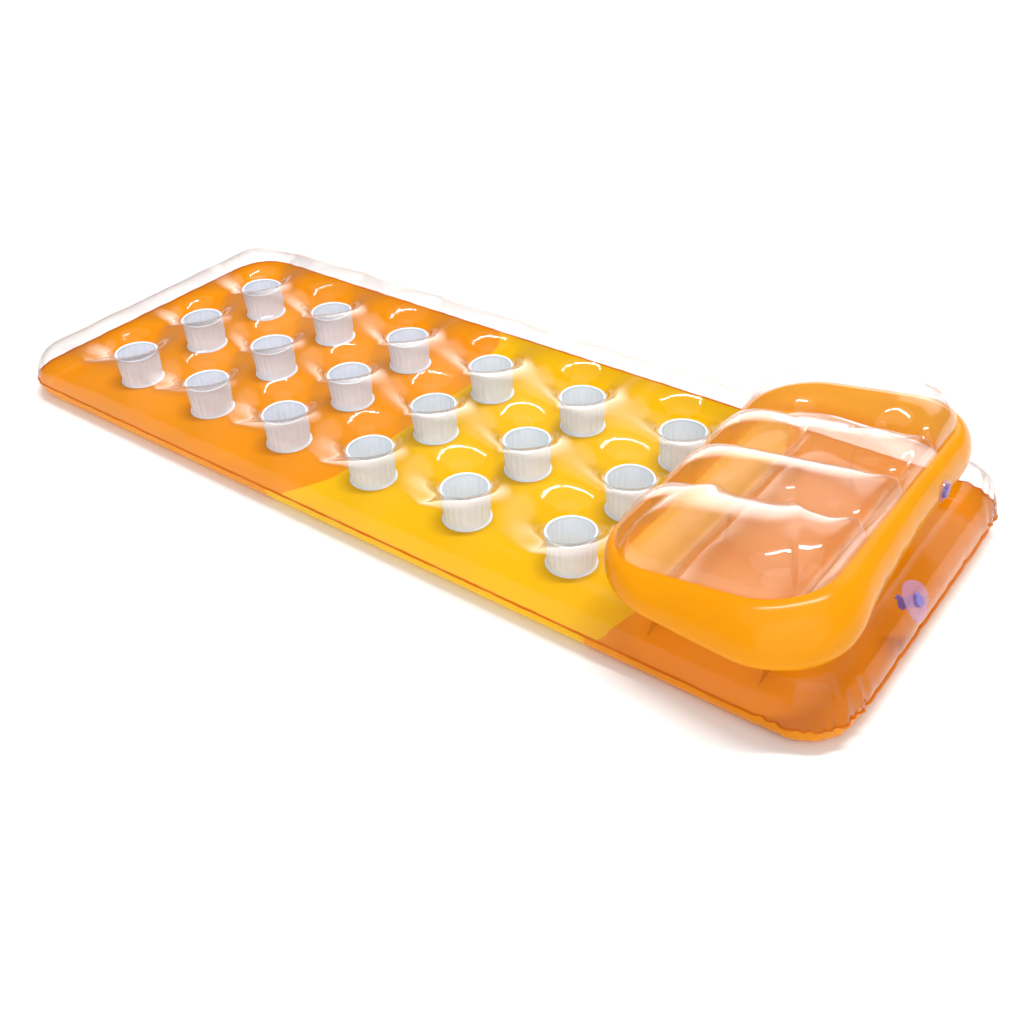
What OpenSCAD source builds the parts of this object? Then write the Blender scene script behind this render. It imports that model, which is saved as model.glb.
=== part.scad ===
// Inflatable pool float: a long air mattress with eighteen water pockets in its deck,
// a wedge-shaped air pillow welded over the head end, and one valve in each air chamber.
// Row frame: +X runs from the foot end to the head end, +Z is up, and the origin is on
// the floor at the centre of the outline. All lengths are in millimetres. The film is
// drawn thicker than real film so that it stays a solid at this size.

/* [Mattress] */
// length between the end seams
mat_len = 1800; // [1400:10:2000]
// width between the side seams
mat_wid = 682; // [500:2:800]
// corner radius of the seam outline
mat_corner = 85; // [76:1:140]
// height of the seam above the floor
seam_z = 34; // [20:1:60]
// radius of the border roll above the seam
roll_r = 73; // [50:1:84]
// width of the welded lip outside the seam
seam_lip = 4; // [2:0.5:10]
// thickness of the film
film = 1.2; // [1:0.1:2]

/* [Bottom panels] */
// where the foot panel meets the middle panel, along X
foot_join_x = -150; // [-300:5:0]
// where the middle panel meets the head panel, along X
head_join_x = 520; // [470:5:540]

/* [Pockets] */
// columns of pockets along the mattress
pocket_cols = 6; // [1:1:8]
// rows of pockets across the mattress
pocket_rows = 3; // [1:1:4]
// distance between columns
col_pitch = 218.7; // [180:0.1:260]
// distance between rows
row_pitch = 176; // [172:1:220]
// X of the column nearest the foot end
first_col_x = -725; // [-790:1:-700]
// outer radius of a pocket at its rim
rim_r = 42.6; // [30:0.1:50]
// outer radius of a pocket at the floor
base_r = 40; // [28:0.5:48]
// height of the pocket rims above the floor
rim_z = 63; // [40:1:90]
// radius of the rolled edge where the deck dips to a pocket
dip_r = 40; // [20:1:41]

/* [Inner webs] */
// X of the web under the front of the pillow
web_front_x = 565; // [540:5:640]
// X of the web under the back of the pillow
web_back_x = 750; // [660:5:800]
// half length of a web
web_half = 262; // [100:1:266]

/* [Pillow] */
// X of the front seam of the pillow at its base
pillow_front = 480; // [460:2:560]
// X of the back seam of the pillow at its base
pillow_back = 802; // [700:2:820]
// X of the front edge of the pillow's top seam
pillow_top_front = 488; // [470:2:600]
// X of the back edge of the pillow's top seam
pillow_top_back = 820; // [700:2:830]
// half width of the pillow's seams
pillow_half = 300; // [200:5:320]
// height of the top seam at the front edge
pillow_front_z = 152; // [130:2:200]
// height of the top seam at the back edge
pillow_back_z = 202; // [150:2:260]
// height of the four rolls above the top seam
pillow_roll = 48; // [20:1:70]
// height of the valleys between the rolls above the top seam
pillow_valley = 16; // [5:1:40]
// how far a side wall bows out, as a share of its height
wall_bow = 0.4; // [0.1:0.05:0.45]

/* [Valves] */
// outer radius of the mattress valve's weld disc
disc_r = 31; // [20:1:36]
// outer radius of the pillow valve's weld disc
small_disc_r = 18; // [16:1:24]
// outer radius of a valve stem
stem_r = 8; // [6:0.1:10]
// inner radius of a valve stem
stem_bore = 6.2; // [4:0.1:8]
// length of a stem below the sheet
stem_len = 26; // [24:1:40]
// Y of the mattress valve
valve_y = -48; // [-200:1:200]
// tilt of the mattress valve above the horizontal, in degrees
valve_tilt = 36; // [20:1:60]

/* [Hidden] */
$fa = 4;
$fs = 1;

clear_colour = [0.92, 0.95, 0.96, 0.35];
orange = [0.95, 0.55, 0.08, 0.8];
yellow = [0.98, 0.76, 0.05, 0.8];
white = [0.93, 0.93, 0.93];
violet = [0.45, 0.42, 0.75, 0.7];

slack = 0.05;                               // radial running clearance of the sliding stem
gap = 0.3;                                  // gap between pieces that move past each other
lap = 0.3;                                  // depth that welded sheets share
deck_z = seam_z + roll_r;                   // top of the deck between the pockets
last_x = mat_len / 2;

function pocket_name(row, col) = str("pocket_", row, "_", col);
function pocket_x(col) = first_col_x + (col - 1) * col_pitch;
function pocket_y(row) = (row - (pocket_rows + 1) / 2) * row_pitch;

// ---- shared shapes -------------------------------------------------------------

// Sweeps a profile round a rounded rectangle. The profile's X is measured from the
// corner centre, so the outline itself is at X = corner.
module around(len, wid, corner) {
    hx = len / 2 - corner;
    hy = wid / 2 - corner;
    for (c = [[hx, hy, 0], [-hx, hy, 90], [-hx, -hy, 180], [hx, -hy, 270]])
        translate([c[0], c[1], 0]) rotate([0, 0, c[2]]) rotate_extrude(angle = 90) children();
    for (turn = [0, 180]) {
        rotate([0, 0, turn]) translate([hx, hy, 0])
            rotate([90, 0, 0]) linear_extrude(2 * hy) children();
        rotate([0, 0, turn + 90]) translate([hy, hx, 0])
            rotate([90, 0, 0]) linear_extrude(2 * hx) children();
    }
}

// A flat plate with rounded corners, standing on z.
module plate(len, wid, corner, z, t) {
    translate([0, 0, z]) linear_extrude(t) union() {
        square([len, wid - 2 * corner], center = true);
        square([len - 2 * corner, wid], center = true);
        for (sx = [-1, 1], sy = [-1, 1])
            translate([sx * (len / 2 - corner), sy * (wid / 2 - corner)]) circle(corner);
    }
}

// A quarter of a thin ring, in the quadrant that quad gives.
module quarter(r, t, quad) {
    intersection() {
        difference() { circle(r); circle(r - t); }
        translate([quad[0] > 0 ? 0 : -r - 1, quad[1] > 0 ? 0 : -r - 1]) square(r + 1);
    }
}

// ---- mattress --------------------------------------------------------------------

module roll_profile() {
    translate([mat_corner - roll_r, seam_z]) quarter(roll_r, film, [1, 1]);
    translate([mat_corner - film, seam_z]) square([seam_lip + film, film]);
}

// The rolled hole where the deck dips to a pocket's rim and ends in a flat weld ring.
module dip() {
    rotate_extrude() {
        translate([44 + dip_r, deck_z - dip_r]) quarter(dip_r, film, [-1, 1]);
        translate([44, rim_z]) square([film, deck_z - dip_r - rim_z]);
        translate([38.5, rim_z]) square([44 + film - 38.5, film]);
    }
}

module mattress_top_sheet() {
    color(clear_colour) difference() {
        union() {
            around(mat_len, mat_wid, mat_corner) roll_profile();
            difference() {
                plate(mat_len - 2 * roll_r, mat_wid - 2 * roll_r, mat_corner - roll_r,
                      deck_z - film, film);
                for (row = [1 : pocket_rows], col = [1 : pocket_cols])
                    translate([pocket_x(col), pocket_y(row), deck_z - film - 1])
                        cylinder(h = film + 2, r = 44 + dip_r);
            }
            for (row = [1 : pocket_rows], col = [1 : pocket_cols])
                translate([pocket_x(col), pocket_y(row), 0]) dip();
        }
        at_mattress_valve() translate([0, 0, -8]) cylinder(h = 16, r = stem_r + 4);
    }
}

module tray_profile() {
    translate([mat_corner - seam_z, seam_z]) quarter(seam_z, film, [1, -1]);
    translate([mat_corner - film, seam_z - film]) square([seam_lip + film, film]);
}

// The part of the bottom sheet between two stations along X.
module bottom_panel(x0, x1) {
    intersection() {
        union() {
            around(mat_len, mat_wid, mat_corner) tray_profile();
            plate(mat_len - 2 * seam_z, mat_wid - 2 * seam_z, mat_corner - seam_z, 0, film);
        }
        translate([x0, -mat_wid, -1]) cube([x1 - x0, 2 * mat_wid, seam_z + 2]);
    }
}

module bottom_panel_foot() color(orange) bottom_panel(-mat_len, foot_join_x);
module bottom_panel_middle() color(yellow) bottom_panel(foot_join_x, head_join_x);
module bottom_panel_head() color(orange) bottom_panel(head_join_x, mat_len);

// A web that ties the deck to the bottom sheet, with a weld strip along each edge.
module web(x) {
    color(clear_colour) translate([x, 0, 0]) {
        translate([-film / 2, -web_half, film]) cube([film, 2 * web_half, deck_z - 2 * film]);
        for (z = [film, deck_z - 2 * film])
            translate([-5, -web_half, z]) cube([10, 2 * web_half, film]);
    }
}

module web_front() web(web_front_x);
module web_back() web(web_back_x);

// A pocket: a slightly tapered tube with a weld ring at its rim and one at the floor.
module pocket(row, col) {
    color(white) translate([pocket_x(col), pocket_y(row), 0]) rotate_extrude() {
        polygon([[base_r - film, film], [base_r, film],
                 [rim_r, rim_z - film], [rim_r, rim_z], [rim_r - film, rim_z]]);
        translate([base_r - 7, film]) square([7, film]);
        translate([37.5, rim_z - film]) square([10, film]);
    }
}

// ---- pillow ----------------------------------------------------------------------

side_steps = 20;                            // steps along the front and back edges
end_steps = 14;                             // steps along the near and far edges
wall_steps = 8;                             // steps up the wall
corner_x = 0.12;                            // how far a corner is drawn in along X
corner_y = 0.065;                           // and along Y

// A point of the pillow's plan, from -1 to 1 each way, with its corners drawn in.
function plan(u, v) = [u * (1 - corner_x * pow(abs(v), 6) * pow(u, 4)),
                       v * (1 - corner_y * pow(abs(u), 6) * pow(v, 4))];
function base_point(u, v) =
    let (p = plan(u, v))
    [(pillow_front + pillow_back) / 2 + p[0] * (pillow_back - pillow_front) / 2,
     p[1] * pillow_half, deck_z + film];
function top_seam_z(x) = pillow_front_z + (pillow_back_z - pillow_front_z)
    * (x - pillow_top_front) / (pillow_top_back - pillow_top_front);
function top_x(u, v) = (pillow_top_front + pillow_top_back) / 2
    + plan(u, v)[0] * (pillow_top_back - pillow_top_front) / 2;
function top_point(u, v) = [top_x(u, v), plan(u, v)[1] * pillow_half, top_seam_z(top_x(u, v))];

// The edge of the plan as a loop of points, anticlockwise.
edge = concat(
    [for (k = [0 : side_steps - 1]) [1, -1 + 2 * k / side_steps]],
    [for (k = [0 : end_steps - 1]) [1 - 2 * k / end_steps, 1]],
    [for (k = [0 : side_steps - 1]) [-1, 1 - 2 * k / side_steps]],
    [for (k = [0 : end_steps - 1]) [-1 + 2 * k / end_steps, -1]]);
edge_n = len(edge);

function edge_base(k) = let (e = edge[(k + edge_n) % edge_n]) base_point(e[0], e[1]);
function edge_top(k) = let (e = edge[(k + edge_n) % edge_n]) top_point(e[0], e[1]);
// The outward direction at a point of the loop.
function edge_out(k) =
    let (a = edge_base(k - 1), b = edge_base(k + 1), d = [b[1] - a[1], a[0] - b[0]])
    [d[0], d[1], 0] / norm(d);
// A point on the wall: share s of the way up, pushed out by the bow and by extra.
function wall_point(k, s, extra) =
    let (a = edge_base(k), b = edge_top(k))
    a + (b - a) * s + edge_out(k) * (wall_bow * (b[2] - a[2]) * sin(180 * s) + extra);

// Faces that join rings of n points each, all the way round, as triangles.
function ring_faces(n, rings) = [for (j = [0 : rings - 2], k = [0 : n - 1], half = [0, 1])
    let (a = j * n + k, b = j * n + (k + 1) % n, c = a + n, d = b + n)
    half == 0 ? [a, c, b] : [b, c, d]];

module pillow_wall() {
    loops = 2 * (wall_steps + 1);
    points = concat(
        [for (j = [0 : wall_steps], k = [0 : edge_n - 1]) wall_point(k, j / wall_steps, 0)],
        [for (j = [0 : wall_steps], k = [0 : edge_n - 1])
            wall_point(k, 1 - j / wall_steps, -film)],
        [for (k = [0 : edge_n - 1]) wall_point(k, 0, 0)]);
    faces = [for (f = ring_faces(edge_n, loops + 1))
        [for (i = f) i >= loops * edge_n ? i - loops * edge_n : i]];
    color(orange) difference() {
        polyhedron(points, faces);
        at_pillow_valve() translate([0, 0, -12]) cylinder(h = 24, r = stem_r + 4);
    }
}

module pillow_base_sheet() {
    color(clear_colour) translate([0, 0, deck_z]) linear_extrude(film)
        polygon([for (k = [0 : edge_n - 1]) [edge_base(k)[0], edge_base(k)[1]]]);
}

rolls = 4;
roll_steps = 8;                             // steps across one roll
long_steps = 22;                            // steps along a roll

// Height of the top sheet above its seam: rolls side by side with valleys between.
function end_rise(u) = sqrt(max(0, 1 - pow(u, 4)));
function across(v) = let (w = rolls * (v + 1) / 2) 2 * (w - floor(w)) - 1;
function quilt(u, v) = end_rise(u) * (pillow_valley * (1 - pow(v, 4))
    + (pillow_roll - pillow_valley) * sqrt(max(0, 1 - pow(across(v), 2))));

module pillow_top_sheet() {
    nv = rolls * roll_steps;
    row = nv + 1;
    per = row * (long_steps + 1);
    function at(i, j, lift) = let (u = -1 + 2 * i / long_steps, v = -1 + 2 * j / nv)
        top_point(u, v) + [0, 0, quilt(u, v) + lift];
    points = [for (lift = [-lap, film - lap], i = [0 : long_steps], j = [0 : nv])
        at(i, j, lift)];
    skin = [for (i = [0 : long_steps - 1], j = [0 : nv - 1], half = [0, 1])
        let (a = i * row + j, b = a + 1, c = a + row, d = c + 1)
        half == 0 ? [a, b, c] : [b, d, c]];
    rim = concat([for (j = [0 : nv - 1]) j],
                 [for (i = [0 : long_steps - 1]) i * row + nv],
                 [for (j = [0 : nv - 1]) long_steps * row + nv - j],
                 [for (i = [0 : long_steps - 1]) (long_steps - i) * row]);
    m = len(rim);
    faces = concat(
        [for (f = skin) [f[0], f[2], f[1]]],
        [for (f = skin) [f[0] + per, f[1] + per, f[2] + per]],
        [for (k = [0 : m - 1], half = [0, 1])
            let (a = rim[k], b = rim[(k + 1) % m])
            half == 0 ? [a, b, a + per] : [b, b + per, a + per]]);
    color(clear_colour) polyhedron(points, [for (f = faces) [f[0], f[2], f[1]]]);
}

// A rib that ties a valley of the top sheet down to the base sheet.
module pillow_rib(v) {
    steps = 18;
    reach = 0.9;
    top = [for (k = [0 : steps]) let (u = -reach + 2 * reach * k / steps)
        [top_x(u, v), top_seam_z(top_x(u, v)) + quilt(u, v)]];
    color(clear_colour) translate([0, v * pillow_half + film / 2, 0]) rotate([90, 0, 0])
        linear_extrude(film) polygon(concat(
            [[top[steps][0] - 12, deck_z + film], [top[0][0], deck_z + film]], top));
}

module pillow_rib_near() pillow_rib(-0.5);
module pillow_rib_centre() pillow_rib(0);
module pillow_rib_far() pillow_rib(0.5);

// ---- valves ----------------------------------------------------------------------

// Places a valve drawn with its axis along +Z and the sheet's outer face at z = 0.
module at_mattress_valve() {
    translate([last_x - roll_r + roll_r * cos(valve_tilt), valve_y,
               seam_z + roll_r * sin(valve_tilt)])
        rotate([0, 90 - valve_tilt, 0]) children();
}

pillow_valve_at = [849, 116, 158];

module at_pillow_valve() translate(pillow_valve_at) rotate([0, 90, 0]) children();

hinge_x = -12.2;                            // the strap hinge sits beside the lip
plug_hinge_z = 4.8;
flap_hinge_z = -stem_len - 1.6;
knuckle_r = 1.6;
pin_r = 0.7;
pin_slack = 0.06;
lug_reach = 3.6;                            // from the hinge to inside the rim
lug_neck = 2;                               // from the hinge, clear of the disc that swings

// The boot that the stem slides in, below the sheet.
module boot() {
    difference() {
        translate([0, 0, -6]) cylinder(h = 6.6, r = stem_r + 2.5);
        bore();
    }
}

module bore() translate([0, 0, -20]) cylinder(h = 40, r = stem_r + slack);

module mattress_valve_disc() {
    color(violet) {
        difference() {
            intersection() {
                translate([last_x - roll_r, mat_wid / 2, seam_z]) rotate([90, 0, 0])
                    linear_extrude(mat_wid) difference() {
                        circle(roll_r + film);
                        circle(roll_r - lap);
                    }
                at_mattress_valve() translate([0, 0, -12]) cylinder(h = 24, r = disc_r);
            }
            at_mattress_valve() bore();
        }
        at_mattress_valve() boot();
    }
}

module pillow_valve_disc() {
    color(violet) at_pillow_valve() {
        difference() {
            translate([0, 0, -3]) cylinder(h = 3 + film, r = small_disc_r);
            bore();
        }
        boot();
    }
}

// Two outer knuckles with a bored hole, each on a lug that runs from the rim of the
// stem, at height lug_z, to the hinge.
module outer_knuckles(z, lug_z, lug_h) {
    for (side = [-1, 1]) difference() {
        union() {
            translate([hinge_x, side * 3.2, z]) rotate([90, 0, 0])
                cylinder(h = 2.4, r = knuckle_r, center = true);
            translate([hinge_x, side * 3.2 - 1.2, lug_z])
                cube([lug_reach, 2.4, lug_h]);
            translate([hinge_x, side * 3.2 - 1.2, min(z, lug_z)])
                cube([lug_neck, 2.4, abs(z - lug_z)]);
        }
        translate([hinge_x, side * 3.2, z]) rotate([90, 0, 0])
            cylinder(h = 6, r = pin_r + pin_slack, center = true);
    }
}

// The middle knuckle and its pin, on the piece that swings.
module middle_knuckle(z) {
    translate([hinge_x, 0, z]) rotate([90, 0, 0]) cylinder(h = 3.2, r = knuckle_r, center = true);
    translate([hinge_x, 0, z]) rotate([90, 0, 0]) cylinder(h = 8.6, r = pin_r, center = true);
}

module valve_stem() {
    color(violet) {
        difference() {
            union() {
                translate([0, 0, -stem_len]) cylinder(h = stem_len + 3.5, r = stem_r);
                translate([0, 0, film + gap]) cylinder(h = 2, r = 10);
                translate([0, 0, -stem_len]) cylinder(h = 1.4, r = 10);
            }
            translate([0, 0, -stem_len - 1]) cylinder(h = stem_len + 8, r = stem_bore);
        }
        outer_knuckles(plug_hinge_z, film + gap, 2);
        outer_knuckles(flap_hinge_z, -stem_len, 1.4);
    }
}

module valve_plug() {
    color(violet) {
        translate([0, 0, 3.5 + gap]) cylinder(h = 2, r = 9.4);
        translate([0, 0, 1.8]) cylinder(h = 2.2, r1 = 4.9, r2 = 5.4);
        translate([hinge_x, -1.6, 3.5 + gap]) cube([4.6, 3.2, 2]);
        middle_knuckle(plug_hinge_z);
    }
}

module valve_flap() {
    color(violet) {
        translate([0, 0, -stem_len - gap - 1.4]) cylinder(h = 1.4, r = 8);
        translate([hinge_x, -1.6, -stem_len - gap - 1.4]) cube([5.6, 3.2, 1.4]);
        middle_knuckle(flap_hinge_z);
    }
}

module mattress_valve_stem() at_mattress_valve() valve_stem();
module mattress_valve_plug() at_mattress_valve() valve_plug();
module mattress_valve_flap() at_mattress_valve() valve_flap();
module pillow_valve_stem() at_pillow_valve() valve_stem();
module pillow_valve_plug() at_pillow_valve() valve_plug();
module pillow_valve_flap() at_pillow_valve() valve_flap();

// ---- drawing ---------------------------------------------------------------------

mattress_top_sheet();
bottom_panel_foot();
bottom_panel_middle();
bottom_panel_head();
web_front();
web_back();
pillow_base_sheet();
pillow_wall();
pillow_top_sheet();
pillow_rib_near();
pillow_rib_centre();
pillow_rib_far();
mattress_valve_disc();
mattress_valve_stem();
mattress_valve_plug();
mattress_valve_flap();
pillow_valve_disc();
pillow_valve_stem();
pillow_valve_plug();
pillow_valve_flap();
for (row = [1 : pocket_rows], col = [1 : pocket_cols])
    pocket(row, col);
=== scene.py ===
"""Looks of the inflatable pool float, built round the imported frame.

Row frame, metres: +X runs from the foot to the head, +Z is up, the floor is z = 0.
"""

import math

import bpy
import numpy as np
from mathutils import Matrix, Quaternion, Vector


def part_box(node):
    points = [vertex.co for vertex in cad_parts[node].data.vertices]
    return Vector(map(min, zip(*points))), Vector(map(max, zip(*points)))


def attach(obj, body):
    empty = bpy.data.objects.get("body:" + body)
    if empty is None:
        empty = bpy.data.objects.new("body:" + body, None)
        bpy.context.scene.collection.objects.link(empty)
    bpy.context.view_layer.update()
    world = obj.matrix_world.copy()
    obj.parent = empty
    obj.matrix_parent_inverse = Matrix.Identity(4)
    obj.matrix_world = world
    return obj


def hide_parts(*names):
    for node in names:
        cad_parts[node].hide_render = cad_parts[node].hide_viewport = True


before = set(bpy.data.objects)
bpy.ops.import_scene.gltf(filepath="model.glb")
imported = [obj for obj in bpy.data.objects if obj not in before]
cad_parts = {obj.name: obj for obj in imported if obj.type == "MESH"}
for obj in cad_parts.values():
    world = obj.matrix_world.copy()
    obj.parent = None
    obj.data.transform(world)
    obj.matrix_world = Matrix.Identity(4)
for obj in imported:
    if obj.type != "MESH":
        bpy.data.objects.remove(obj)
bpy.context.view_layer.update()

MM = 0.001
PHASE = 6.28                               # random phases run from 0 to this, nearly a full turn

# ---- sizes, from the frame where it holds them ------------------------------------

ROWS = (1, 2, 3)
COLS = (1, 2, 3, 4, 5, 6)
LIP = 4 * MM                               # welded lip outside the seam
sheet_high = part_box("mattress_top_sheet")[1]
HALF_LEN = sheet_high.x - LIP              # seam outline, half length and half width
HALF_WID = sheet_high.y - LIP
DECK_Z = sheet_high.z                      # top of the deck between the pockets
SEAM_Z = 34 * MM
CORNER = 85 * MM                           # corner radius of the seam outline
ROLL = 55 * MM                             # from the seam in to the crest of the border
FOOT_DROP = 15 * MM                        # the border is lower at the foot end
RIM_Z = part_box("pocket_1_1")[1].z          # rims of the pockets
RIM_R = 42.6 * MM
BASE_R = 40 * MM
DIP = 105 * MM                             # how far a pocket's dip reaches from its rim
WEB_X = [sum(c.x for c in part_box(n)) / 2 for n in ("web_front", "web_back")]
WEB_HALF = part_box("web_front")[1].y
WEB_DROP = 21 * MM                         # how far a web holds the deck down
VALLEY_DROP = 11 * MM                      # valleys that join the pockets of a column
ROW_DROP = 3 * MM                          # shallower valleys that join those of a row
CREASES = 11                               # creases round each pocket
CREASE_SIZE = 1.6 * MM
WAVE_COUNT = 7                             # sine waves that make up the film's unevenness
PLEAT_DEPTH = 1.8 * MM                     # pleats of a pocket's wall
BUCKLE = 1.4 * MM                          # broad unevenness of the wall
RIPPLE = 0.8 * MM                          # fine unevenness of the wall


def centre_of(node):
    """Middle of a CAD node's box, as (x, y)."""
    low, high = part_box(node)
    return (low.x + high.x) / 2, (low.y + high.y) / 2


POCKETS = {(r, c): centre_of(f"pocket_{r}_{c}") for r in ROWS for c in COLS}
COL_X = [POCKETS[1, c][0] for c in COLS]
ROW_Y = [POCKETS[r, 1][1] for r in ROWS]
PITCH_X = (COL_X[-1] - COL_X[0]) / (len(COLS) - 1)
PITCH_Y = (ROW_Y[-1] - ROW_Y[0]) / (len(ROWS) - 1)


# ---- mesh helpers -------------------------------------------------------------------

def merged(points, faces, digits=6):
    """Joins vertices that lie at the same place. Returns the new points and faces."""
    keys = np.round(points, digits) + 0.0
    _, first, back = np.unique(keys, axis=0, return_index=True, return_inverse=True)
    back = back.reshape(-1)
    return points[first], back[faces]


def strip_faces(rows, cols, closed):
    """Quads between rows of points. Each row has cols points, and may close on itself."""
    i = np.arange(rows - 1)[:, None]
    j = np.arange(cols if closed else cols - 1)[None, :]
    k = (j + 1) % cols
    a, b, c, d = i * cols + j, (i + 1) * cols + j, (i + 1) * cols + k, i * cols + k
    return np.stack(np.broadcast_arrays(a, b, c, d), -1).reshape(-1, 4)


def joined(patches):
    """One array of points and one of faces from several patches."""
    points, faces, start = [], [], 0
    for p, f in patches:
        points.append(p)
        faces.append(f + start)
        start += len(p)
    return np.concatenate(points), np.concatenate(faces)


def normals_of(points, faces):
    """Unit vertex normals of a mesh of quads."""
    p = points[faces]
    flat = np.cross(p[:, 2] - p[:, 0], p[:, 3] - p[:, 1])
    out = np.zeros_like(points)
    for k in range(4):
        np.add.at(out, faces[:, k], flat)
    return out / np.maximum(np.linalg.norm(out, axis=1, keepdims=True), 1e-12)


def piece(name, points, faces, material, body="float", replaces=()):
    """A smooth mesh piece that rides on a body."""
    mesh = bpy.data.meshes.new(name)
    mesh.from_pydata(np.asarray(points).tolist(), [], np.asarray(faces).tolist())
    mesh.validate()
    mesh.polygons.foreach_set("use_smooth", [True] * len(mesh.polygons))
    mesh.materials.append(material)
    obj = bpy.data.objects.new(name, mesh)
    bpy.context.scene.collection.objects.link(obj)
    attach(obj, body)
    if replaces:
        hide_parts(*replaces)
    return obj


def smooth(t):
    """Smooth step from 0 to 1."""
    t = np.clip(t, 0, 1)
    return t * t * (3 - 2 * t)


def quarter_round(t):
    """Rises from 0 to 1 like a quarter of an ellipse, steepest at 0."""
    return np.sqrt(1 - (1 - np.clip(t, 0, 1)) ** 2)


# ---- outline of the mattress --------------------------------------------------------

def inside(x, y):
    """Distance inside the seam outline, a rounded rectangle."""
    qx = np.abs(x) - (HALF_LEN - CORNER)
    qy = np.abs(y) - (HALF_WID - CORNER)
    outer = np.hypot(np.maximum(qx, 0), np.maximum(qy, 0))
    return CORNER - outer - np.minimum(np.maximum(qx, qy), 0)


def rounded(x, y, half_x, half_y, radius):
    """Moves points of a rectangle's edge that lie near its corners on to the corner arcs."""
    cx, cy = half_x - radius, half_y - radius
    dx, dy = np.abs(x) - cx, np.abs(y) - cy
    corner = (dx > 0) & (dy > 0)
    size = np.where(corner, np.hypot(dx, dy), 1)
    return (np.where(corner, np.sign(x) * (cx + radius * dx / size), x),
            np.where(corner, np.sign(y) * (cy + radius * dy / size), y))


def loop_of(xs, ys):
    """Points round a rectangle's edge, anticlockwise from its lower right corner."""
    right = np.stack([np.full(len(ys) - 1, xs[-1]), ys[:-1]], 1)
    upper = np.stack([xs[::-1][:-1], np.full(len(xs) - 1, ys[-1])], 1)
    left = np.stack([np.full(len(ys) - 1, xs[0]), ys[::-1][:-1]], 1)
    lower = np.stack([xs[:-1], np.full(len(xs) - 1, ys[0])], 1)
    return np.concatenate([right, upper, left, lower])


# ---- puckers where the film gathers at the seam -------------------------------------

def pucker_list():
    """Puckers along the seam: (x, y, inward x, inward y, depth, width, reach)."""
    rng = np.random.default_rng(7)
    found = []
    for sx in (-1, 1):
        for sy in (-1, 1):
            strong = 7 * MM if sx > 0 else 1.8 * MM
            cx, cy = sx * (HALF_LEN - CORNER), sy * (HALF_WID - CORNER)
            for k in range(9):
                a = math.radians(-12 + 114 * (k + rng.uniform(-0.25, 0.25)) / 8)
                ux, uy = sx * math.cos(a), sy * math.sin(a)
                found.append((cx + CORNER * ux, cy + CORNER * uy, -ux, -uy,
                              strong * rng.uniform(0.45, 1.0), rng.uniform(4, 7) * MM,
                              rng.uniform(20, 42) * MM))
    for sx in (-1, 1):
        for k in range(7):
            y = (HALF_WID - CORNER) * (-0.85 + 1.7 * (k + rng.uniform(-0.3, 0.3)) / 6)
            strong = 1.7 * MM if sx > 0 else 0.8 * MM
            found.append((sx * HALF_LEN, y, -sx, 0, strong * rng.uniform(0.3, 1),
                          rng.uniform(6, 10) * MM, rng.uniform(12, 22) * MM))
    for sy in (-1, 1):
        for k in range(19):
            x = (HALF_LEN - CORNER) * (-0.95 + 1.9 * (k + rng.uniform(-0.3, 0.3)) / 18)
            found.append((x, sy * HALF_WID, 0, -sy, 0.9 * MM * rng.uniform(0.2, 1),
                          rng.uniform(6, 12) * MM, rng.uniform(8, 18) * MM))
    return found


PUCKERS = pucker_list()


def puckered(points, depth_scale=1.0, reach_scale=1.0, lift=-1.0):
    """Draws the film in at each pucker: inward at the seam, and down (or up) inside it."""
    x, y = points[:, 0], points[:, 1]
    d = inside(x, y)
    near = d < 0.12
    share = np.clip(1 - d / ROLL, 0, 1)
    out = points.copy()
    for px, py, nx, ny, depth, width, reach in PUCKERS:
        along = (x - px) * nx + (y - py) * ny
        beside = (x - px) * -ny + (y - py) * nx
        size = depth * depth_scale * np.exp(-(beside / width) ** 2)
        size = size * np.exp(-np.maximum(along, 0) / (reach * reach_scale)) * near
        out[:, 0] += nx * size * share
        out[:, 1] += ny * size * share
        out[:, 2] += lift * size * (1 - share) * 0.8
    return out


# ---- top sheet ----------------------------------------------------------------------

def deck_height(x, y):
    """Height of the inflated top sheet over a point of the plan."""
    d = inside(x, y)
    top = DECK_Z - FOOT_DROP * smooth((-x - 0.60) / 0.26)
    for wx in WEB_X:
        line = np.exp(-np.abs(x - wx) / (24 * MM)) * smooth((WEB_HALF + 0.03 - np.abs(y)) / 0.06)
        top = top - WEB_DROP * line
    z = SEAM_Z + (top - SEAM_Z) * quarter_round(d / ROLL)
    for cx in COL_X:
        line = np.exp(-np.sqrt(((x - cx) / (17 * MM)) ** 2 + 0.15))
        z = z - VALLEY_DROP * line * smooth((d - 24 * MM) / (50 * MM))
    for cy in ROW_Y:
        line = np.exp(-((y - cy) / (30 * MM)) ** 2)
        on_rows = smooth((COL_X[-1] + 0.10 - x) / 0.06) * smooth(d / 0.08)
        z = z - ROW_DROP * line * on_rows
    keep = np.ones_like(z)
    for cx, cy in POCKETS.values():
        u = np.clip((np.hypot(x - cx, y - cy) - RIM_R) / DIP, 0, 1)
        keep *= (1 - (1 - u) ** 2.6) ** 0.66
    return RIM_Z + (z - RIM_Z) * keep


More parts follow.
